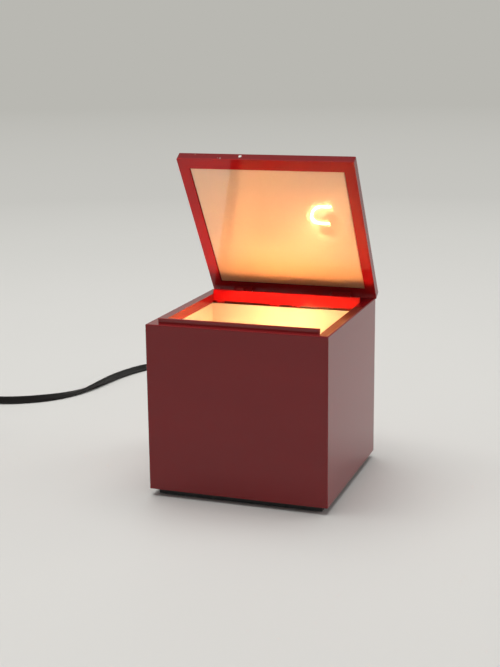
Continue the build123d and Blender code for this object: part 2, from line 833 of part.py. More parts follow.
# Cord entry: strain relief through the back wall, then the clamp
back_y = cube_d / 2
with BuildPart() as strain_relief:
    with BuildSketch(Plane.YZ.offset(flex_x)):
        with BuildLine():
            Polyline(
                (inner_y - relief_inner_t, flex_z),
                (inner_y - relief_inner_t, flex_z + relief_inner_r),
                (inner_y, flex_z + relief_inner_r),
                (inner_y, flex_z + relief_r),
                (back_y, flex_z + relief_r),
                (back_y, flex_z + relief_flange_r),
                (back_y + relief_flange_t, flex_z + relief_flange_r),
                (back_y + relief_flange_t, flex_z + relief_r),
                (flex_start_y, flex_z + relief_tip_r),
                (flex_start_y, flex_z),
                close=True,
            )
        make_face()
    revolve(axis=Axis((flex_x, 0, flex_z), (0, 1, 0)))
pieces["strain_relief"] = strain_relief

with BuildPart() as inner_flex:
    with BuildSketch(Plane.XZ.offset(-inner_flex_end_y)):
        with Locations((flex_x, flex_z)):
            Circle(flex_r)
    extrude(amount=-(inner_y - relief_inner_t - inner_flex_end_y))
pieces["inner_flex"] = inner_flex

with BuildPart() as cord_clamp:
    with BuildSketch(Plane.XY.offset(clamp_over)):
        with Locations((flex_x, clamp_y)):
            Rectangle(2 * clamp_half_l, clamp_w)
        with Locations(*clamp_posts):
            Circle(screw_r + screw_clearance, mode=Mode.SUBTRACT)
    extrude(amount=clamp_bar_t)
pieces["cord_clamp"] = cord_clamp

with BuildPart() as clamp_screws:
    with BuildSketch(Plane.XY.offset(clamp_over + clamp_bar_t)):
        with Locations(*clamp_posts):
            Circle(screw_head_r)
    extrude(amount=screw_head_h)
    with BuildSketch(Plane.XY.offset(clamp_over + clamp_bar_t)):
        with Locations(*clamp_posts):
            Circle(screw_r)
    extrude(amount=-clamp_bar_t - (clamp_over - base_top) / 2)
pieces["clamp_screws"] = clamp_screws

# Terminal block and its screws
block_left = -lug_x - block_offset
block_right = block_left + block_l
block_top = base_top + block_h
with BuildPart() as terminal_block:
    with BuildSketch(Plane.XY.offset(base_top)):
        with Locations(((block_left + block_right) / 2, block_y)):
            Rectangle(block_l, block_w)
    extrude(amount=block_h)
    fillet(terminal_block.edges().filter_by(Axis.X).group_by(Axis.Z)[-1], block_round)
pieces["terminal_block"] = terminal_block

block_rows = [block_y - block_pitch, block_y, block_y + block_pitch]
with BuildPart() as block_screws:
    with BuildSketch(Plane.XY.offset(block_top)):
        with Locations(*[(block_left + block_screw_x, y) for y in block_rows]):
            Circle(block_screw_r)
    extrude(amount=block_screw_h)
pieces["block_screws"] = block_screws

# Wires: cord to block, block to lampholder and block to switch
holder_wire_x = block_right - holder_wire_inset
holder_wire_top = holder_bottom + holder_wire_above_holder
switch_wire_y = block_y + switch_wire_back
core_gap = wire_r + touch_gap
supply_wires = [
    [
        (flex_x - core_gap, inner_flex_end_y, flex_z),
        (flex_x - core_gap, block_rows[2], flex_z),
        (block_right, block_rows[2], flex_z),
    ],
    [
        (flex_x + core_gap, inner_flex_end_y, flex_z),
        (flex_x + core_gap, block_rows[1], flex_z),
        (block_right, block_rows[1], flex_z),
    ],
]
holder_wires = [
    [(holder_wire_x, y, block_top), (holder_wire_x, y, z), (end - touch_gap, y, z)]
    for y, z, end in [
        (
            y,
            holder_wire_top - order * holder_wire_step,
            lamp_x - math.sqrt(holder_r**2 - (y - wire_r) ** 2),
        )
        for order, y in enumerate(holder_wire_ys)
    ]
]
switch_wires = [
    [
        (-lug_x + x, switch_wire_y, block_top),
        (-lug_x + x, switch_wire_y, wire_gate_z),
        (-lug_x + x, blade_y, wire_gate_z),
        (-lug_x + x, blade_y, switch_low - blade_l),
    ]
    for x in (-blade_x, blade_x)
]
for name, routes in (
    ("supply_wires", supply_wires),
    ("holder_wires", holder_wires),
    ("switch_wires", switch_wires),
):
    with BuildPart() as wires:
        for route in routes:
            add(tube(route, wire_bend, wire_r).part)
    pieces[name] = wires

# The cord that the photograph shows, from the strain relief to its coil
radii = cord_radii(cord_points)
print("cord radii", [round(r, 1) for r in radii])
mains_flex = tube(cord_points, radii, flex_r)
pieces["mains_flex"] = mains_flex
flex_length = mains_flex.part.volume / (math.pi * flex_r**2)
with BuildLine() as flex_route:
    FilletPolyline(*cord_points, radius=radii)
flex_wire = flex_route.wire()
print("cord length by volume", round(flex_length, 2), "by line", round(flex_wire.length, 2))


def half_turn(start_y, radius, way, low, high):
    """Half a turn of the coil from one end of its diameter to the other."""
    end_y = start_y - way * 2 * math.sqrt(radius**2 - ((high - low) / 2) ** 2)
    middle = (coil_x - way * radius, coil_y + (start_y + end_y) / 2, (low + high) / 2)
    ThreePointArc(
        (coil_x, coil_y + start_y, low),
        middle,
        (coil_x, coil_y + end_y, high),
    )
    return end_y


# The coil spirals in on the table, climbs a layer in its tightest half turn and spirals out
with BuildPart() as flex_coil:
    with BuildLine() as coil_line:
        at_y = coil_turn_r
        way = 1
        Line((cord_points[-1][0], coil_y + at_y, coil_z), (coil_x, coil_y + at_y, coil_z))
        for turn in range(coil_half_turns):
            at_y = half_turn(at_y, coil_turn_r - turn * coil_pitch / 2, way, coil_z, coil_z)
            way = -way
        tight_r = coil_turn_r - coil_half_turns * coil_pitch / 2
        at_y = half_turn(at_y, tight_r, way, coil_z, coil_top_z)
        way = -way
        for turn in range(coil_half_turns):
            at_y = half_turn(
                at_y, tight_r + (turn + 1) * coil_pitch / 2, way, coil_top_z, coil_top_z
            )
            way = -way
        coil_end_y = coil_y + at_y
        Line((coil_x, coil_end_y, coil_top_z), (coil_x + plug_lead, coil_end_y, coil_top_z))
    with BuildSketch(Plane(origin=coil_line.line @ 0, z_dir=coil_line.line % 0)):
        Circle(flex_r)
    sweep()
pieces["flex_coil"] = flex_coil

coil_wire = coil_line.wire()
steps = int(coil_wire.length)
line_points = [coil_wire @ (i / steps) for i in range(steps + 1)]
least = min(
    (a - b).length
    for i, a in enumerate(line_points)
    for b in line_points[i + coil_same_bend :]
)
coil_length = flex_coil.part.volume / (math.pi * flex_r**2)
print("coil least gap", round(least - 2 * flex_r, 2), "length by volume", round(coil_length, 1))
print("coil length by line", round(coil_wire.length, 1))
print("whole cord", round(coil_wire.length + flex_wire.length, 1))

# A tie holds the coil at its left side
tie_in = coil_turn_r - (coil_half_turns - 1) * coil_pitch / 2 - coil_pitch / 2 - flex_r - tie_gap
tie_out = coil_turn_r + flex_r + tie_gap
tie_low = coil_z - flex_r - tie_gap
tie_high = coil_top_z + flex_r + tie_gap
with BuildPart() as coil_tie:
    with BuildSketch(Plane.XZ.offset(-coil_y)):
        with Locations((coil_x - (tie_in + tie_out) / 2, (tie_low + tie_high) / 2)):
            Rectangle(tie_out - tie_in + 2 * tie_t, tie_high - tie_low + 2 * tie_t)
            Rectangle(tie_out - tie_in, tie_high - tie_low, mode=Mode.SUBTRACT)
    extrude(amount=tie_w / 2, both=True)
pieces["coil_tie"] = coil_tie

# Two-pin plug, lying beside the coil
plug_x = coil_x + plug_lead
with BuildPart() as plug_body:
    with BuildSketch(Plane.XY):
        with BuildLine():
            Polyline(
                (plug_x, coil_end_y - plug_entry_w / 2),
                (plug_x + plug_l / 2, coil_end_y - plug_w / 2),
                (plug_x + plug_l, coil_end_y - plug_w / 2),
                (plug_x + plug_l, coil_end_y + plug_w / 2),
                (plug_x + plug_l / 2, coil_end_y + plug_w / 2),
                (plug_x, coil_end_y + plug_entry_w / 2),
                close=True,
            )
        make_face()
    extrude(amount=2 * coil_top_z)
    fillet(plug_body.edges().filter_by(Axis.Z), plug_round)
    chamfer(plug_body.faces().sort_by(Axis.Z)[-1].edges(), plug_chamfer)
pieces["plug_body"] = plug_body

with BuildPart() as plug_pins:
    with BuildSketch(Plane.YZ.offset(plug_x + plug_l)):
        with Locations(
            (coil_end_y - plug_pin_pitch / 2, coil_top_z),
            (coil_end_y + plug_pin_pitch / 2, coil_top_z),
        ):
            Circle(plug_pin_r)
    extrude(amount=plug_pin_l)
    fillet(plug_pins.faces().sort_by(Axis.X)[-2:].edges(), plug_pin_round)
pieces["plug_pins"] = plug_pins

os.makedirs("parts", exist_ok=True)
for name, piece in pieces.items():
    piece.part.label = name
    export_step(piece.part, f"parts/{name}.step")
print(len(pieces), "pieces")
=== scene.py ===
import json
import math

import bmesh
import bpy
from mathutils import Matrix, Vector


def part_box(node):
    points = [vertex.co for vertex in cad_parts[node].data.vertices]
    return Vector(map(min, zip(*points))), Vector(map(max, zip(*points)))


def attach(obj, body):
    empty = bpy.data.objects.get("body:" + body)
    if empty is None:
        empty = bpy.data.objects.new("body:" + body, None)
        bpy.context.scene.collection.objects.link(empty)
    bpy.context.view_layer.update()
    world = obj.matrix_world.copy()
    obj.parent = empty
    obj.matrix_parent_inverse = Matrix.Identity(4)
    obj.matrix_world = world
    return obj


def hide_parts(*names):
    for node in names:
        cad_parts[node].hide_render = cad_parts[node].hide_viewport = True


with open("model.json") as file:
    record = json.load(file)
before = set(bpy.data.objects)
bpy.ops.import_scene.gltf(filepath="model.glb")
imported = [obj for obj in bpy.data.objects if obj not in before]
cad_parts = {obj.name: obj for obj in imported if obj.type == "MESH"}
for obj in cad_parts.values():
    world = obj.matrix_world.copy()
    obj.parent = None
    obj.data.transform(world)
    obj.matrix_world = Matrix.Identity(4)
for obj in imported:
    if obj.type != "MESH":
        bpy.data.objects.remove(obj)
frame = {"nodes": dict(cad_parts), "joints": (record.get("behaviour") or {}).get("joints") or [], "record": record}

MM = 0.001
NEARLY_ZERO = 1e-6
UP = Vector((0, 0, 1))
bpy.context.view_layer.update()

# What the scene takes from the frame
shell_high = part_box("body_shell")[1]
glass_low, glass_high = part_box("lamp_glass")
filament_low, filament_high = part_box("lamp_filament")
relief_low, relief_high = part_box("strain_relief")
plug_low, plug_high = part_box("plug_body")
LAMP_X = (glass_low.x + glass_high.x) / 2
FILAMENT_Z = (filament_low.z + filament_high.z) / 2
HINGE = Vector(frame["joints"][0]["pos_m"])
LID_OPEN = math.radians(56.8)
LID_OUTWARD = Vector((0, math.sin(LID_OPEN), math.cos(LID_OPEN)))


# ---------------------------------------------------------------- camera

PHOTO_HEIGHT = 667
SENSOR = 36.0
CAMERA_AZIMUTH = math.radians(19.368)
CAMERA_ELEVATION = math.radians(13.247)
CAMERA_ROLL = math.radians(-0.611)
CAMERA_DISTANCE = 693.656 * MM
CAMERA_TARGET = Vector((-9.029, 0.0, 81.786)) * MM
CAMERA_CLIP_START = 0.02
FOCAL_PIXELS = 1250.26


def make_camera():
    """The photograph's viewpoint."""
    data = bpy.data.cameras.new("camera")
    data.sensor_width = SENSOR
    data.lens = SENSOR * FOCAL_PIXELS / PHOTO_HEIGHT
    data.clip_start = CAMERA_CLIP_START
    camera = bpy.data.objects.new("camera", data)
    bpy.context.scene.collection.objects.link(camera)
    back = Vector((
        math.sin(CAMERA_AZIMUTH) * math.cos(CAMERA_ELEVATION),
        -math.cos(CAMERA_AZIMUTH) * math.cos(CAMERA_ELEVATION),
        math.sin(CAMERA_ELEVATION),
    ))
    level_right = (-back).cross(UP).normalized()
    level_up = level_right.cross(-back)
    right = math.cos(CAMERA_ROLL) * level_right + math.sin(CAMERA_ROLL) * level_up
    up = math.cos(CAMERA_ROLL) * level_up - math.sin(CAMERA_ROLL) * level_right
    turn = Matrix((right, up, back)).transposed().to_4x4()
    camera.matrix_world = Matrix.Translation(CAMERA_TARGET + back * CAMERA_DISTANCE) @ turn
    bpy.context.scene.camera = camera


# ---------------------------------------------------------------- mesh helpers

NURBS_ORDER = 3


def new_piece(name, mesh, finish):
    """A smooth mesh as a piece that rides on the housing."""
    piece = bpy.data.objects.new(name, mesh)
    bpy.context.scene.collection.objects.link(piece)
    mesh.materials.append(finish.material)
    for face in mesh.polygons:
        face.use_smooth = True
    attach(piece, "housing")
    return piece


def tube_mesh(name, rings, closed_ends=True):
    """A mesh skinned over rings of equal point counts."""
    made = bmesh.new()
    loops = [[made.verts.new(p) for p in ring] for ring in rings]
    count = len(loops[0])
    for low, high in zip(loops, loops[1:]):
        for i in range(count):
            j = (i + 1) % count
            made.faces.new((low[i], low[j], high[j], high[i]))
    if closed_ends:
        made.faces.new(list(reversed(loops[0])))
        made.faces.new(loops[-1])
    bmesh.ops.recalc_face_normals(made, faces=made.faces)
    mesh = bpy.data.meshes.new(name)
    made.to_mesh(mesh)
    made.free()
    return mesh


def circle(centre, side, up, radius, count):
    """Points round a centre, in the plane of side and up."""
    return [
        centre + (side * math.cos(a) + up * math.sin(a)) * radius
        for a in [2 * math.pi * i / count for i in range(count)]
    ]


def crease(piece, degrees):
    """Shades a piece smooth, but keeps its sharper edges crisp."""
    limit = math.radians(degrees)
    made = bmesh.new()
    made.from_mesh(piece.data)
    for edge in made.edges:
        edge.smooth = len(edge.link_faces) == 2 and edge.calc_face_angle(0) < limit
    made.to_mesh(piece.data)
    made.free()


def spline_points(name, points, resolution):
    """Points along the smooth NURBS line that has these control points."""
    curve = bpy.data.curves.new(name, "CURVE")
    curve.dimensions = "3D"
    spline = curve.splines.new("NURBS")
    spline.points.add(len(points) - 1)
    for slot, point in zip(spline.points, points):
        slot.co = (*point, 1)
    spline.order_u = NURBS_ORDER
    spline.use_endpoint_u = True
    spline.resolution_u = resolution
    holder = bpy.data.objects.new(name, curve)
    bpy.context.scene.collection.objects.link(holder)
    bpy.context.view_layer.update()
    mesh = bpy.data.meshes.new_from_object(holder)
    line = [v.co.copy() for v in mesh.vertices]
    bpy.data.objects.remove(holder)
    bpy.data.meshes.remove(mesh)
    bpy.data.curves.remove(curve)
    return line


# ---------------------------------------------------------------- material helpers

EDGE_SAMPLES = 6
# How alike the rounded and the true normal are, from on an edge to off it
EDGE_FADE = 0.75, 0.98
# The part of a noise's values that its finish is spread over
NOISE_RANGE = 0.3, 0.7


class Finish:
    """A principled material with procedural layers in object coordinates."""

    def __init__(self, name, **sockets):
        self.material = bpy.data.materials.new(name)
        self.material.use_nodes = True
        self.tree = self.material.node_tree
        self.shader = self.tree.nodes["Principled BSDF"]
        self.output = self.tree.nodes["Material Output"]
        self.place = self.tree.nodes.new("ShaderNodeTexCoord").outputs["Object"]
        for socket, value in sockets.items():
            self.shader.inputs[socket.replace("_", " ")].default_value = value

    def node(self, kind, inputs=None, **settings):
        """A shader node with its settings, and its inputs linked or set."""
        made = self.tree.nodes.new("ShaderNode" + kind)
        for key, value in settings.items():
            setattr(made, key, value)
        for key, value in (inputs or {}).items():
            if isinstance(value, bpy.types.NodeSocket):
                self.tree.links.new(value, made.inputs[key])
            else:
                made.inputs[key].default_value = value
        return made

    def noise(self, scale, detail=3.0, roughness=0.5, stretch=None):
        """A noise from 0 to 1. scale is in features per metre."""
        at = self.place
        if stretch:
            at = self.node("Mapping", {"Vector": self.place, "Scale": stretch}).outputs[0]
        return self.node("TexNoise", {
            "Vector": at, "Scale": scale, "Detail": detail, "Roughness": roughness,
        }).outputs["Fac"]

    def spread(self, value, low, high, to_low=0.0, to_high=1.0):
        """value from low..high, mapped to to_low..to_high."""
        return self.node("MapRange", {
            0: value, 1: low, 2: high, 3: to_low, 4: to_high,
        }).outputs[0]

    def below(self, value, low, high):
        """1 where value is under low, fading to 0 at high."""
        return self.spread(value, low, high, 1.0, 0.0)

    def math(self, operation, *values):
        """A number from one step of arithmetic."""
        return self.node("Math", dict(enumerate(values)), operation=operation).outputs[0]

    def vector(self, operation, *values):
        """A vector operation that gives a number."""
        made = self.node("VectorMath", dict(enumerate(values)), operation=operation)
        return made.outputs["Value"]

    def height(self):
        """The height over the ground in metres, at rest."""
        return self.node("SeparateXYZ", {0: self.place}).outputs["Z"]

    def mix(self, factor, low, high):
        """A colour between two colours."""
        made = self.node("Mix", {0: factor}, data_type="RGBA")
        for socket, value in ((made.inputs[6], low), (made.inputs[7], high)):
            if isinstance(value, bpy.types.NodeSocket):
                self.tree.links.new(value, socket)
            else:
                socket.default_value = value
        return made.outputs[2]

    def edges(self, width):
        """1 along the sharp edges of a piece."""
        rounded = self.node("Bevel", {"Radius": width}, samples=EDGE_SAMPLES).outputs[0]
        flat = self.node("NewGeometry").outputs["Normal"]
        return self.below(self.vector("DOT_PRODUCT", rounded, flat), *EDGE_FADE)

    def bump(self, *layers):
        """Bump layers as (height, strength, distance in metres)."""
        normal = None
        for height, strength, distance in layers:
            inputs = {"Height": height, "Strength": strength, "Distance": distance}
            if normal:
                inputs["Normal"] = normal
            normal = self.node("Bump", inputs).outputs[0]
        self.tree.links.new(normal, self.shader.inputs["Normal"])

    def colour(self, value):
        """Paints the finish."""
        self.tree.links.new(value, self.shader.inputs["Base Color"])

    def painted(self):
        """The colour that the finish has so far."""
        return self.shader.inputs["Base Color"].links[0].from_socket

    def rough(self, value):
        """Sets how rough the finish is."""
        self.tree.links.new(value, self.shader.inputs["Roughness"])

    def surface(self, factor, low, high):
        """Mixes two shaders, as the material's surface."""
        mixed = self.node("MixShader", {0: factor})
        self.tree.links.new(low.outputs[0], mixed.inputs[1])
        self.tree.links.new(high.outputs[0], mixed.inputs[2])
        self.tree.links.new(mixed.outputs[0], self.output.inputs["Surface"])


def srgb(red, green, blue):
    """A linear colour from 8-bit display values."""
    def linear(value):
        value /= 255
        return value / 12.92 if value <= 0.04045 else ((value + 0.055) / 1.055) ** 2.4
    return (linear(red), linear(green), linear(blue), 1.0)


# ---------------------------------------------------------------- red plastic

SHELL_RED = srgb(122, 17, 23), srgb(134, 21, 26)
# Painted light: the lid's red as the lamp lights it, painted on its inner side
LID_PAINTED_GLOW_RED = srgb(154, 21, 24), srgb(166, 25, 26)
INNER_RED = srgb(176, 10, 18), srgb(190, 12, 20)
STRIP_RED = srgb(138, 14, 20), srgb(150, 16, 22)
# Painted shade in the gap where the rear wall meets the reflector's rim
GAP_SHADE_RED = srgb(74, 8, 10)
# Paler edge colour: partly rubbed wear, partly a painted highlight
WORN_AND_GLINT_RED = srgb(196, 92, 84)
SCRATCH_RED = srgb(220, 150, 145)
FLOW_SCALE = 18
# Width of the paler edges, partly rubbed wear and partly a painted highlight
WORN_AND_GLINT_EDGE = 0.5 * MM
# Distances outward from the hinge's axis between which the painted lamp glow on the lid's inner side fades
LID_PAINTED_GLOW_BELOW = 4.4 * MM
LID_PLAIN_ABOVE = 5.2 * MM
# Heights between which the painted shade line fades, in the gap where the rear wall meets the reflector
GAP_SHADE_TOP = 91.3 * MM
GAP_SHADE_END = 91.5 * MM
# Chips on the lid's front edge: place, radius and colour
CHIPS_MM = [
    ((-13.9, 0.5, 179.5), 1.0, srgb(232, 230, 224)),
    ((-24.8, -1.0, 178.3), 0.5, srgb(176, 150, 144)),
    ((-26.2, -1.0, 178.4), 0.4, srgb(170, 140, 134)),
    ((-40.1, 1.2, 180.1), 0.4, srgb(186, 128, 96)),
]
# How far a chip's edge wanders, and where it starts and ends to fade beyond its radius
CHIP_RAGGED = 1.2 * MM
CHIP_INSIDE = 0.35 * MM
CHIP_OUTSIDE = 0.6 * MM


def red_plastic(name, reds, gloss=0.5):
    """Glossy moulded plastic: flow marks, orange peel, hairline scratches, and paler edges that are partly rubbed
    wear and partly a painted highlight.
    """
    made = Finish(name, IOR=1.45, Specular_IOR_Level=gloss)
    body = made.mix(made.noise(FLOW_SCALE, 2.0, stretch=(1.0, 1.0, 2.5)), *reds)
    scratch = made.spread(made.noise(2600, 2.0, stretch=(1.0, 0.04, 1.0)), 0.72, 0.78)
    patchy = made.spread(made.noise(300, 4.0), 0.42, 0.7)
    # Paler edges, in patches: partly rubbed wear, partly a painted edge highlight
    worn_and_glint = made.math("MULTIPLY", made.edges(WORN_AND_GLINT_EDGE), patchy)
    paler = made.mix(made.math("MULTIPLY", worn_and_glint, 0.55), body, WORN_AND_GLINT_RED)
    made.colour(made.mix(made.math("MULTIPLY", scratch, 0.06), paler, SCRATCH_RED))
    haze = made.spread(made.noise(60, 5.0, 0.6), 0.3, 0.75, 0.05, 0.11)
    made.rough(made.math("ADD", haze, made.math("MULTIPLY", scratch, 0.12)))
    made.bump(
        (made.noise(45, 1.0), 0.12, 0.10 * MM),
        (made.noise(1500, 3.0), 0.02, 0.02 * MM),
    )
    return made


def chip(made, point, radius, colour, paint):
    """A chipped spot: pale and ragged."""
    away = made.vector("DISTANCE", made.place, point)
    ragged = made.math("MULTIPLY", made.noise(1400, 3.0), CHIP_RAGGED)
    away = made.math("ADD", away, ragged)
    inside = made.below(away, radius + CHIP_INSIDE, radius + CHIP_OUTSIDE)
    return made.mix(inside, paint, colour)


def lid_plastic():
    """The shell's plastic, chipped, with the lamp's warm light painted on its inner side."""
    made = red_plastic("red_shell_lid", SHELL_RED, gloss=0.42)
    hinge = HINGE.dot(LID_OUTWARD)
    above = made.vector("DOT_PRODUCT", made.place, tuple(LID_OUTWARD))
    # Painted light: a warmer, lit red on the lid's inner side
    inner = made.below(above, hinge + LID_PAINTED_GLOW_BELOW, hinge + LID_PLAIN_ABOVE)
    lit = made.mix(made.noise(FLOW_SCALE, 2.0), *LID_PAINTED_GLOW_RED)
    paint = made.mix(inner, made.painted(), lit)
    for point, radius, colour in CHIPS_MM:
        paint = chip(made, tuple(Vector(point) * MM), radius * MM, colour, paint)
    made.colour(paint)
    return made


def rear_wall_plastic():
    """The inner red, with a broken dark line of painted shade in the gap along the reflector's rim."""
    made = red_plastic("red_inner_wall", INNER_RED, gloss=0.3)
    # Painted shade: a broken dark line in the gap above the reflector's rim
    gap_shade = made.below(made.height(), GAP_SHADE_TOP, GAP_SHADE_END)
    broken = made.spread(made.noise(160, 3.0, stretch=(1.0, 0.05, 0.05)), 0.34, 0.44)
    made.colour(made.mix(made.math("MULTIPLY", gap_shade, broken), made.painted(), GAP_SHADE_RED))
    return made


# ---------------------------------------------------------------- other materials

PANEL_PALE = srgb(208, 186, 155), srgb(215, 194, 164)
# Painted light: red-orange light bounced from the red walls, with painted shade, on the panel near the hinge
PANEL_PAINTED_BOUNCE_AND_SHADE = srgb(206, 152, 104)
# Heights between which the painted bounce light and shade fades
PANEL_PAINTED_BOUNCE_LOW = 92 * MM
PANEL_PAINTED_BOUNCE_HIGH = 124 * MM
# How much of the mirrored light passes the lamp's glass unbent
GLASS_PASSES_GLOSS = 0.75
FILAMENT_STRENGTH = 300.0

# Slot: shader sockets, colour noise, dark and light colour, roughness noise and range,
# and bump layers as noise scale, detail, strength and millimetres
PLAIN_FINISHES = {
    "black_plastic": (
        {"IOR": 1.48}, (900, 4.0), (20, 19, 20), (34, 33, 34),
        (220, 4.0), (0.42, 0.58), [(3200, 2.0, 0.25, 0.05)],
    ),
    "white_liner": (
        {"IOR": 1.46}, (30, 4.0), (190, 179, 163), (199, 188, 173),
        (160, 4.0), (0.32, 0.45), [(1400, 3.0, 0.12, 0.04)],
    ),
    "white_ceramic": (
        {"IOR": 1.5, "Coat_Weight": 0.2}, (60, 3.0), (214, 206, 188), (230, 223, 206),
        (300, 3.0), (0.25, 0.4), [(800, 3.0, 0.1, 0.04)],
    ),
    "foot_rubber": (
        {"IOR": 1.45}, (700, 5.0), (24, 23, 23), (44, 42, 41),
        (400, 3.0), (0.7, 0.9), [(2500, 3.0, 0.3, 0.06)],
    ),
    "washer_nylon": (
        {"IOR": 1.5}, (900, 3.0), (190, 184, 170), (212, 207, 194),
        (600, 3.0), (0.35, 0.5), [(2500, 2.0, 0.1, 0.03)],
    ),
    "cord_black": (
        {"IOR": 1.45, "Specular_IOR_Level": 0.35}, (240, 5.0, 0.6), (12, 11, 11), (26, 23, 22),
        (420, 4.0), (0.3, 0.5), [(1800, 3.0, 0.15, 0.05), (160, 2.0, 0.2, 0.15)],
    ),
    "wire_brown": (
        {"IOR": 1.47}, (500, 4.0), (78, 44, 26), (102, 62, 38),
        (500, 3.0), (0.32, 0.48), [(1600, 2.0, 0.12, 0.04)],
    ),
    "lamp_black_glass": (
        {"IOR": 1.52, "Coat_Weight": 0.5}, (300, 3.0), (14, 13, 16), (30, 28, 32),
        (200, 2.0), (0.06, 0.14), [(400, 2.0, 0.1, 0.04)],
    ),
}
# Slot: dark and light colour, and roughness range
METAL_FINISHES = {
    "steel": (srgb(150, 150, 154), srgb(182, 182, 186), 0.22, 0.42),
    "brass": (srgb(176, 136, 70), srgb(206, 166, 92), 0.2, 0.4),
    "filament_wire": (srgb(120, 112, 104), srgb(150, 142, 132), 0.3, 0.5),
}


def plain_finish(name, sockets, grain, dark, light, haze, rough_range, bumps):
    """A finish with one noise each for its colour and roughness, and its bump layers."""
    made = Finish(name, **sockets)
    made.colour(made.mix(made.noise(*grain), srgb(*dark), srgb(*light)))
    made.rough(made.spread(made.noise(*haze), *NOISE_RANGE, *rough_range))
    made.bump(*[
        (made.noise(scale, detail), strength, depth * MM)
        for scale, detail, strength, depth in bumps
    ])
    return made


def metal_finish(name, dark, light, rough_low, rough_high):
    """Metal with a drawn grain along its height."""
    made = Finish(name, Metallic=1.0)
    made.colour(made.mix(made.noise(500, 4.0, stretch=(1, 1, 0.2)), dark, light))
    haze = made.noise(1800, 3.0, stretch=(1, 1, 0.1))
    made.rough(made.spread(haze, *NOISE_RANGE, rough_low, rough_high))
    made.bump((made.noise(2600, 2.0, stretch=(1, 1, 0.1)), 0.1, 0.02 * MM))
    return made


def panel_finish():
    """A pale polished panel, with painted orange bounce light and shade near the hinge."""
    made = Finish("pale_panel", IOR=1.5, Coat_Weight=1.0, Coat_Roughness=0.022, Coat_IOR=1.8)
    pale = made.mix(made.noise(9, 1.0), *PANEL_PALE)
    # Painted light and shade: the panel turns orange and darker towards the hinge
    painted_bounce_mask = made.below(made.height(), PANEL_PAINTED_BOUNCE_LOW, PANEL_PAINTED_BOUNCE_HIGH)
    made.colour(made.mix(painted_bounce_mask, pale, PANEL_PAINTED_BOUNCE_AND_SHADE))
    made.rough(made.spread(made.noise(26, 2.0), *NOISE_RANGE, 0.10, 0.13))
    made.bump((made.noise(70, 1.0), 0.03, 0.03 * MM))
    return made


def clear_glass():
    """Thin clear lamp glass. Light from the filament passes through it unbent."""
    made = Finish("lamp_clear_glass", IOR=1.5, Transmission_Weight=1.0)
    made.colour(made.mix(made.noise(80, 2.0), (0.97, 0.965, 0.95, 1), (0.99, 0.985, 0.975, 1)))
    made.rough(made.spread(made.noise(120, 3.0), 0.3, 0.8, 0.0, 0.03))
    made.bump((made.noise(60, 1.0), 0.05, 0.05 * MM))
    rays = made.node("LightPath").outputs
    passing = made.math("MAXIMUM", rays["Is Shadow Ray"], rays["Is Diffuse Ray"])
    in_gloss = made.math("MULTIPLY", rays["Is Glossy Ray"], GLASS_PASSES_GLOSS)
    passing = made.math("MAXIMUM", passing, in_gloss)
    made.surface(passing, made.shader, made.node("BsdfTransparent"))
    return made


def glowing_wire():
    """The lit filament, a little brighter and darker along its coils."""
    made = Finish("filament_glow", Emission_Strength=FILAMENT_STRENGTH)
    bands = made.noise(3000, 1.0)
    made.colour(made.mix(bands, srgb(255, 190, 110), srgb(255, 214, 150)))
    glow = made.mix(bands, srgb(255, 176, 92), srgb(255, 206, 138))
    made.tree.links.new(glow, made.shader.inputs["Emission Color"])
    made.material.cycles.emission_sampling = "NONE"
    return made


def make_finishes():
    """Every finish by the name of its slot, or of its node where one node has its own."""
    finishes = {
        "red_shell": red_plastic("red_shell", SHELL_RED),
        "red_inner": red_plastic("red_inner", INNER_RED, gloss=0.3),
        "lid_frame": lid_plastic(),
        "rear_wall": rear_wall_plastic(),
        "front_strip": red_plastic("red_inner_strip", STRIP_RED, gloss=0.62),
        "pale_panel": panel_finish(),
        "lamp_clear_glass": clear_glass(),
    }
    for slot, row in PLAIN_FINISHES.items():
        finishes[slot] = plain_finish(slot, *row)
    for slot, row in METAL_FINISHES.items():
        finishes[slot] = metal_finish(slot, *row)
    return finishes


def paint_frame(finishes):
    """Gives each CAD node its own finish, or the one of its slot."""
    for row in frame["record"]["subparts"]:
        materials = frame["nodes"][row["node"]].data.materials
        materials.clear()
        finish = finishes.get(row["node"]) or finishes[row["material_slot"]]
        materials.append(finish.material)


# ---------------------------------------------------------------- cord

FLEX_WIDTH = 5.0 * MM
FLEX_THICKNESS = 3.1 * MM
# Radius of the round tube whose middle line the route points give
FLEX_TUBE_R = 2.5 * MM
FLEX_SECTION_POINTS = 20
FLEX_GROOVE_DEPTH = 0.22
FLEX_GROOVE_WIDTH = 0.22
FLEX_ROUNDNESS = 0.62
FLEX_RESOLUTION = 8
# The flex lies on the ground where its middle is below the first height, and is free
# of it above the second
FLEX_RESTS_BELOW = 4 * MM
FLEX_FREE_ABOVE = 9 * MM
FLEX_POINTS_MM = [
    (-10, 74, 13), (-10, 92, 13), (-12, 112, 8.2), (-18, 138, 3.1), (-34, 168, 2.6),
    (-59, 197, 2.6), (-92, 219, 2.6), (-124, 224, 2.6), (-148, 212, 2.6), (-162, 190, 2.6),
    (-169, 166, 2.6), (-172, 142, 2.6), (-177, 121, 2.6), (-185, 104, 2.6), (-196, 92, 2.6),
    (-209, 84, 2.6), (-224, 79, 2.9), (-241, 77, 3.4), (-257, 77, 3.4),
]
# Twist of the flat flex, in degrees, at shares of its length
FLEX_TWISTS = [
    (0.0, 0), (0.11, 6), (0.141, 30), (0.155, 58), (0.17, 90), (0.18, 130),
    (0.189, 175), (0.2, 215), (0.212, 250), (0.235, 270), (1.0, 270),
]
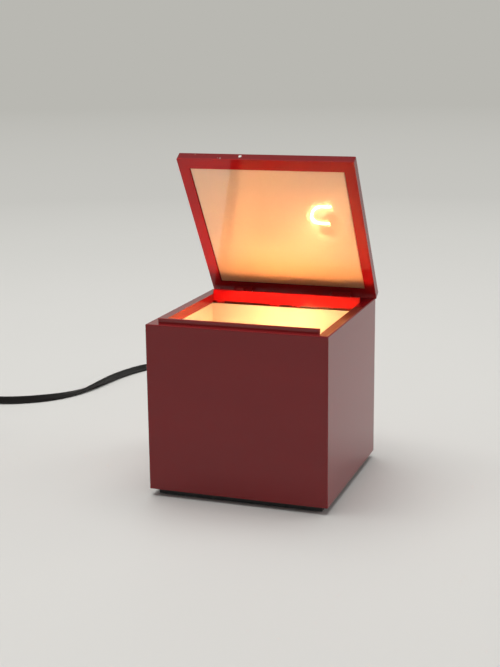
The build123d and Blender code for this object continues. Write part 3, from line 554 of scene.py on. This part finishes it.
# The coil, in millimetres: its middle, its radius, and the height of its lower layer
COIL_X = -262.0
COIL_Y = 38.5
COIL_R = 38.5
COIL_PITCH = 5.8
COIL_TURNS = 3.5
COIL_LOW = 3.4
COIL_STEPS = 12
COIL_END_STRAIGHT = 22.0


def coil_points():
    """Control points for the coil: in on the ground, up a layer and out again."""
    swell = 1 / math.cos(math.pi / COIL_STEPS)
    half = COIL_STEPS // 2
    steps = int(COIL_TURNS * COIL_STEPS)
    tight = COIL_R - COIL_TURNS * COIL_PITCH
    upper = COIL_LOW + COIL_PITCH
    points = []
    for step in range(steps):
        points.append((step, COIL_R - COIL_PITCH * step / COIL_STEPS, COIL_LOW))
    for step in range(half):
        points.append((steps + step, tight, COIL_LOW + COIL_PITCH * step / half))
    for step in range(steps + 1):
        points.append((steps + half + step, tight + COIL_PITCH * step / COIL_STEPS, upper))
    placed = []
    for step, radius, height in points:
        angle = math.pi / 2 + 2 * math.pi * step / COIL_STEPS
        shift = COIL_PITCH / 4 if height == COIL_LOW else COIL_PITCH * 3 / 4
        placed.append((
            COIL_X + swell * radius * math.cos(angle),
            COIL_Y - shift + swell * radius * math.sin(angle),
            height,
        ))
    return placed


def twist_at(share):
    """The flex's twist in radians at a share of its length."""
    for (low, low_twist), (high, high_twist) in zip(FLEX_TWISTS, FLEX_TWISTS[1:]):
        if share <= high:
            part = (share - low) / (high - low)
            return math.radians(low_twist + (high_twist - low_twist) * part)
    return math.radians(FLEX_TWISTS[-1][1])


def flex_section():
    """The twin flex's outline: two round cores with a shallow groove between them."""
    outline = []
    for i in range(FLEX_SECTION_POINTS):
        angle = 2 * math.pi * i / FLEX_SECTION_POINTS
        across = FLEX_WIDTH / 2 * math.cos(angle)
        from_middle = across / (FLEX_GROOVE_WIDTH * FLEX_WIDTH)
        waist = 1 - FLEX_GROOVE_DEPTH * math.exp(-(from_middle ** 2))
        rise = math.copysign(abs(math.sin(angle)) ** FLEX_ROUNDNESS, math.sin(angle))
        outline.append((across, FLEX_THICKNESS / 2 * rise * waist))
    return outline


def make_cord(finishes):
    """The mains flex from its strain relief through its coil."""
    end_y = COIL_Y - COIL_R - COIL_PITCH
    end_z = COIL_LOW + COIL_PITCH
    control = FLEX_POINTS_MM + coil_points() + [
        (COIL_X + COIL_END_STRAIGHT / 2, end_y, end_z),
        (COIL_X + COIL_END_STRAIGHT, end_y, end_z),
    ]
    line = spline_points("flex_route", [Vector(p) * MM for p in control], FLEX_RESOLUTION)
    lengths = [0.0]
    for a, b in zip(line, line[1:]):
        lengths.append(lengths[-1] + (b - a).length)
    whole = lengths[-1]
    section = flex_section()
    path, rings = [], []
    for i, point in enumerate(line):
        twist = twist_at(lengths[i] / whole)
        cosine, sine = math.cos(twist), math.sin(twist)
        ahead = (line[min(i + 1, len(line) - 1)] - line[max(i - 1, 0)]).normalized()
        side = ahead.cross(UP).normalized()
        up = side.cross(ahead)
        half_height = math.hypot(FLEX_WIDTH / 2 * sine, FLEX_THICKNESS / 2 * cosine)
        resting = (FLEX_FREE_ABOVE - point.z) / (FLEX_FREE_ABOVE - FLEX_RESTS_BELOW)
        resting = max(0.0, min(1.0, resting))
        at = point - UP * ((FLEX_TUBE_R - half_height) * resting)
        path.append(at)
        rings.append([
            at + side * (a * cosine - b * sine) + up * (a * sine + b * cosine)
            for a, b in section
        ])
    mesh = tube_mesh("mains_flex_twin", rings)
    flex = new_piece("mains_flex_twin", mesh, finishes["cord_black"])
    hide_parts("mains_flex", "flex_coil")


# ---------------------------------------------------------------- strain relief

# Radii and the distances along from the shell's back face are all in millimetres
RELIEF_NUT_R = 5.6
RELIEF_NUT_ROUND = 0.3
RELIEF_NUT_OUTER_R = 6.0
RELIEF_FLANGE_MM = [
    (-3.5, 6.0), (-3.2, 5.7), (-3.2, 4.6), (0.0, 4.6), (0.02, 6.6), (0.3, 7.0),
    (1.3, 7.0), (1.8, 6.7), (2.1, 6.0), (2.6, 5.2), (3.6, 4.8),
]
RELIEF_RIBS = 6
RELIEF_RIBS_FROM = 4.6
RELIEF_TIP = 1.2
RIB_FIRST_R = 4.7
RIB_LAST_R = 3.5
# One rib: share of the pitch, and how far it lies below the rib's top, in millimetres
RIB_SHAPE = [(0.0, 0.0), (0.48, 0.0), (0.58, 0.2), (0.64, 1.0), (0.9, 1.0), (0.96, 0.25)]
# Distances before the end of the tip, and radii
RELIEF_TIP_MM = [(0.5, 3.4), (0.1, 3.15), (0.0, 2.8), (0.0, 0.0)]
RELIEF_SIDES = 40
RELIEF_CREASE = 30
SMALLEST_R = 1e-5


def make_relief(finishes):
    """A moulded sleeve with ribs that keeps the flex from kinking."""
    axis = Vector((0, 1, 0))
    side = axis.orthogonal().normalized()
    up = axis.cross(side)
    middle = Vector((
        (relief_low.x + relief_high.x) / 2, shell_high.y, (relief_low.z + relief_high.z) / 2,
    ))
    inside = relief_low.y - shell_high.y
    length = relief_high.y - shell_high.y
    profile = [
        (inside, 0.0), (inside, RELIEF_NUT_R * MM),
        (inside + RELIEF_NUT_ROUND * MM, RELIEF_NUT_OUTER_R * MM),
    ]
    profile += [(along * MM, radius * MM) for along, radius in RELIEF_FLANGE_MM]
    start = RELIEF_RIBS_FROM * MM
    pitch = (length - start - RELIEF_TIP * MM) / RELIEF_RIBS
    for rib in range(RELIEF_RIBS):
        top = RIB_FIRST_R * MM - (RIB_FIRST_R - RIB_LAST_R) * MM * rib / RELIEF_RIBS
        for share, below in RIB_SHAPE:
            profile.append((start + rib * pitch + share * pitch, top - below * MM))
    profile += [(length - before * MM, radius * MM) for before, radius in RELIEF_TIP_MM]
    rings = [
        circle(middle + axis * along, side, up, max(radius, SMALLEST_R), RELIEF_SIDES)
        for along, radius in profile
    ]
    mesh = tube_mesh("strain_relief_ribbed", rings)
    relief = new_piece("strain_relief_ribbed", mesh, finishes["cord_black"])
    crease(relief, RELIEF_CREASE)
    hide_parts("strain_relief")


# ---------------------------------------------------------------- plug

# Along the plug, width and height, in millimetres
PLUG_STATIONS = [
    (0.0, 7.0, 6.6), (0.4, 8.4, 8.0), (2.6, 8.6, 8.2), (2.9, 7.2, 6.8), (3.9, 7.2, 6.8),
    (4.2, 9.6, 9.0), (6.2, 9.9, 9.2), (6.5, 8.2, 7.6), (7.5, 8.2, 7.6), (7.9, 11.2, 10.2),
    (9.0, 14.5, 12.0), (11.0, 19.0, 14.2), (13.5, 24.0, 16.0), (16.5, 29.0, 17.2),
    (19.5, 32.6, 17.9), (22.5, 34.6, 18.2), (25.5, 35.6, 18.36), (28.0, 36.0, 18.4),
    (28.3, 35.2, 17.7), (28.9, 35.2, 17.7), (29.2, 36.0, 18.4), (32.6, 36.0, 18.4),
    (33.4, 35.6, 18.0), (33.9, 34.6, 17.2), (34.0, 33.4, 16.4),
]
PLUG_STEP = 0.35
PLUG_SQUARENESS = 3.6
PLUG_SIDES = 64
PLUG_CREASE = 40
# The grip's grooves, in millimetres along the plug and into it
GRIP_FROM, GRIP_TO, GRIP_PITCH, GRIP_DEPTH = 11.0, 26.5, 2.6, 0.45
GRIP_SHARPNESS = 0.6
# How far out a point lies before it counts as the plug's side, as a cosine
GRIP_SIDE_FROM = 0.55


def plug_stations():
    """The plug's sections in even steps, as along, width and height in millimetres."""
    stations = []
    for low, high in zip(PLUG_STATIONS, PLUG_STATIONS[1:]):
        steps = max(1, round((high[0] - low[0]) / PLUG_STEP))
        for step in range(steps):
            part = step / steps
            stations.append(tuple(a + (b - a) * part for a, b in zip(low, high)))
    stations.append(PLUG_STATIONS[-1])
    return stations


def make_plug(finishes):
    """A moulded two-pin plug with a ribbed neck, grip grooves and a groove round its front."""
    middle = Vector((plug_low.x, (plug_low.y + plug_high.y) / 2, (plug_low.z + plug_high.z) / 2))
    half_high = (plug_high.z - plug_low.z) / 2 / MM
    power = 2 / PLUG_SQUARENESS
    rings = []
    for along, width, height in plug_stations():
        groove = 0.0
        if GRIP_FROM < along < GRIP_TO:
            wave = math.cos(2 * math.pi * (along - GRIP_FROM) / GRIP_PITCH)
            groove = GRIP_DEPTH * max(0.0, -wave) ** GRIP_SHARPNESS
        ring = []
        for i in range(PLUG_SIDES):
            angle = 2 * math.pi * i / PLUG_SIDES
            cosine, sine = math.cos(angle), math.sin(angle)
            across = width / 2 * math.copysign(abs(cosine) ** power, cosine)
            rise = height / 2 * math.copysign(abs(sine) ** power, sine)
            on_side = max(0.0, abs(cosine) - GRIP_SIDE_FROM) / (1 - GRIP_SIDE_FROM)
            across -= math.copysign(groove * min(1.0, on_side * 2), across)
            rise = max(-half_high, min(half_high, rise))
            ring.append(middle + Vector((along, across, rise)) * MM)
        rings.append(ring)
    mesh = tube_mesh("plug_moulded", rings)
    plug = new_piece("plug_moulded", mesh, finishes["cord_black"])
    crease(plug, PLUG_CREASE)
    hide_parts("plug_body")


# ---------------------------------------------------------------- strap

STRAP_THICKNESS = 0.7 * MM
STRAP_ROUND_R = 3.0 * MM
STRAP_RIDGE = 0.12 * MM
STRAP_RIDGES = 4
STRAP_CORNER_STEPS = 8
STRAP_SIDE_STEPS = 24
STRAP_CREASE = 40


def make_strap(finishes):
    """The ridged strap round the coil."""
    low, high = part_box("coil_tie")
    middle_y = (low.y + high.y) / 2
    left, right = low.x + STRAP_ROUND_R, high.x - STRAP_ROUND_R
    bottom, top = low.z + STRAP_ROUND_R, high.z - STRAP_ROUND_R
    section = []
    for step in range(STRAP_SIDE_STEPS + 1):
        across = step / STRAP_SIDE_STEPS - 0.5
        ridge = STRAP_RIDGE * abs(math.sin(STRAP_RIDGES * math.pi * across))
        section.append((across, STRAP_ROUND_R - ridge))
    for step in range(STRAP_SIDE_STEPS + 1):
        section.append((0.5 - step / STRAP_SIDE_STEPS, STRAP_ROUND_R - STRAP_THICKNESS))
    rings = []
    corners = (right, top), (left, top), (left, bottom), (right, bottom)
    for quarter, (x, z) in enumerate(corners):
        for step in range(STRAP_CORNER_STEPS + 1):
            angle = math.radians(90 * quarter + 90 * step / STRAP_CORNER_STEPS)
            rings.append([
                Vector((
                    x + math.cos(angle) * radius,
                    middle_y + across * (high.y - low.y),
                    z + math.sin(angle) * radius,
                ))
                for across, radius in section
            ])
    rings.append([p.copy() for p in rings[0]])
    mesh = tube_mesh("coil_strap", rings, closed_ends=False)
    made = bmesh.new()
    made.from_mesh(mesh)
    bmesh.ops.remove_doubles(made, verts=made.verts, dist=NEARLY_ZERO)
    made.to_mesh(mesh)
    made.free()
    strap = new_piece("coil_strap", mesh, finishes["black_plastic"])
    crease(strap, STRAP_CREASE)
    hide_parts("coil_tie")


# ---------------------------------------------------------------- filament

FILAMENT_ARM = 6.5 * MM
FILAMENT_BEND_R = 5.2 * MM
FILAMENT_WIRE_R = 0.22 * MM
FILAMENT_COIL_R = 0.78 * MM
FILAMENT_COILS = 46
POINTS_PER_COIL = 10
FILAMENT_SIDES = 6


def filament_centre(at):
    """A point along the horseshoe, and its outward direction."""
    bend = math.pi * FILAMENT_BEND_R
    if at < FILAMENT_ARM:
        return Vector((FILAMENT_ARM - at, -FILAMENT_BEND_R, 0)), Vector((0, -1, 0))
    if at < FILAMENT_ARM + bend:
        angle = (at - FILAMENT_ARM) / FILAMENT_BEND_R
        out = Vector((-math.sin(angle), -math.cos(angle), 0))
        return out * FILAMENT_BEND_R, out
    return Vector((at - FILAMENT_ARM - bend, FILAMENT_BEND_R, 0)), Vector((0, 1, 0))


def make_filament():
    """A finely coiled wire bent into a horseshoe."""
    middle = Vector((LAMP_X, 0, FILAMENT_Z))
    whole = 2 * FILAMENT_ARM + math.pi * FILAMENT_BEND_R
    steps = FILAMENT_COILS * POINTS_PER_COIL
    radius = FILAMENT_COIL_R - FILAMENT_WIRE_R
    helix = []
    for i in range(steps + 1):
        centre, out = filament_centre(whole * i / steps)
        turn = 2 * math.pi * i / POINTS_PER_COIL
        helix.append(centre + (out * math.cos(turn) + UP * math.sin(turn)) * radius)
    rings = []
    for i, point in enumerate(helix):
        ahead = (helix[min(i + 1, steps)] - helix[max(i - 1, 0)]).normalized()
        side = ahead.cross(UP)
        side = side.normalized() if side.length > NEARLY_ZERO else Vector((1, 0, 0))
        up = side.cross(ahead)
        rings.append(circle(middle + point, side, up, FILAMENT_WIRE_R, FILAMENT_SIDES))
    mesh = tube_mesh("filament_coil", rings)
    coil = new_piece("filament_coil", mesh, glowing_wire())
    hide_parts("lamp_filament")


# ---------------------------------------------------------------- stage and light

FLOOR_COLOUR = srgb(223, 221, 216)
FLOOR_PATCHES = srgb(219, 217, 212)
NEAR_AIR = srgb(217, 216, 211)
MIDDLE_AIR = srgb(199, 198, 193)
FAR_AIR = srgb(185, 184, 178)
FLOOR_R = 60.0
FLOOR_SIDES = 96
# Distances in metres over which the floor fades into each background tone
FADE_TO_NEAR = 0.35, 0.9
FADE_TO_MIDDLE = 0.5, 1.3
FADE_TO_FAR = 1.2, 4.0
WORLD_LIGHT = (0.93, 0.96, 1.0, 1)
WORLD_STRENGTH = 0.2
OBJECT_MIDDLE = Vector((0, 0, 0.08))
# Name, place, size, watts, and whether gloss mirrors it
SOFT_LIGHTS = [
    ("sky", (-0.2, 0.1, 1.7), (1.6, 1.6), 28, False),
    ("right_wall", (1.6, 0.7, 0.7), (1.4, 1.2), 7, True),
    ("left_wall", (-1.5, -0.8, 0.8), (1.0, 1.0), 2, True),
]
BULB_POWER = 0.172
BULB_COLOUR = (1.0, 0.475, 0.22)
BULB_SOFTNESS = 8 * MM
BULB_FROM_FILAMENT = Vector((-6, 0, -13)) * MM


def seen_directly(tree):
    """1 for what the camera, gloss and glass see, 0 for what lights the object."""
    rays = tree.nodes.new("ShaderNodeLightPath").outputs
    seen = rays["Is Camera Ray"]
    for ray in ("Is Transmission Ray", "Is Glossy Ray"):
        either = tree.nodes.new("ShaderNodeMath")
        either.operation = "MAXIMUM"
        tree.links.new(seen, either.inputs[0])
        tree.links.new(rays[ray], either.inputs[1])
        seen = either.outputs[0]
    return seen


def make_stage():
    """A pale floor that fades into the pale background."""
    mesh = bpy.data.meshes.new("floor")
    made = bmesh.new()
    bmesh.ops.create_circle(made, cap_ends=True, radius=FLOOR_R, segments=FLOOR_SIDES)
    made.to_mesh(mesh)
    made.free()
    floor = bpy.data.objects.new("floor", mesh)
    bpy.context.scene.collection.objects.link(floor)
    paint = Finish("floor", Roughness=0.6)
    paint.colour(paint.mix(paint.noise(3, 2.0), FLOOR_COLOUR, FLOOR_PATCHES))
    away = paint.vector("LENGTH", paint.place)
    air = paint.mix(paint.spread(away, *FADE_TO_MIDDLE), NEAR_AIR, MIDDLE_AIR)
    air = paint.mix(paint.spread(away, *FADE_TO_FAR), air, FAR_AIR)
    glow = paint.node("Emission", {"Color": air, "Strength": 1.0})
    faded = paint.spread(away, *FADE_TO_NEAR)
    shown = paint.math("MULTIPLY", faded, seen_directly(paint.tree))
    paint.surface(shown, paint.shader, glow)
    mesh.materials.append(paint.material)


def make_world():
    """Soft grey light all round, and a pale background."""
    world = bpy.data.worlds.new("studio")
    bpy.context.scene.world = world
    world.use_nodes = True
    tree = world.node_tree
    tree.nodes.clear()
    mix = tree.nodes.new("ShaderNodeMixShader")
    tree.links.new(seen_directly(tree), mix.inputs[0])
    for socket, colour, strength in ((1, WORLD_LIGHT, WORLD_STRENGTH), (2, FAR_AIR, 1.0)):
        sky = tree.nodes.new("ShaderNodeBackground")
        sky.inputs["Color"].default_value = colour
        sky.inputs["Strength"].default_value = strength
        tree.links.new(sky.outputs[0], mix.inputs[socket])
    out = tree.nodes.new("ShaderNodeOutputWorld")
    tree.links.new(mix.outputs[0], out.inputs["Surface"])


def area_light(name, place, size, power, seen_in_gloss):
    """A soft rectangular light that faces the object."""
    data = bpy.data.lights.new(name, "AREA")
    data.shape = "RECTANGLE"
    data.size, data.size_y = size
    data.energy = power
    lamp = bpy.data.objects.new(name, data)
    bpy.context.scene.collection.objects.link(lamp)
    lamp.location = place
    lamp.rotation_mode = "QUATERNION"
    lamp.rotation_quaternion = (OBJECT_MIDDLE - Vector(place)).to_track_quat("-Z", "Y")
    lamp.visible_camera = False
    lamp.visible_glossy = seen_in_gloss


def make_lights():
    """Soft studio light, and the lit bulb."""
    for row in SOFT_LIGHTS:
        area_light(*row)
    bulb = bpy.data.lights.new("bulb", "POINT")
    bulb.energy = BULB_POWER
    bulb.color = BULB_COLOUR
    bulb.shadow_soft_size = BULB_SOFTNESS
    lamp = bpy.data.objects.new("bulb", bulb)
    bpy.context.scene.collection.objects.link(lamp)
    lamp.location = Vector((LAMP_X, 0, FILAMENT_Z)) + BULB_FROM_FILAMENT
    lamp.visible_camera = False
    lamp.visible_glossy = False
    lamp.visible_transmission = False


# ---------------------------------------------------------------- the scene

make_camera()
finishes = make_finishes()
make_relief(finishes)
make_plug(finishes)
make_strap(finishes)
make_cord(finishes)
paint_frame(finishes)
make_filament()
make_stage()
make_world()
make_lights()
bpy.context.scene.view_settings.view_transform = "Standard"

bpy.context.view_layer.update()
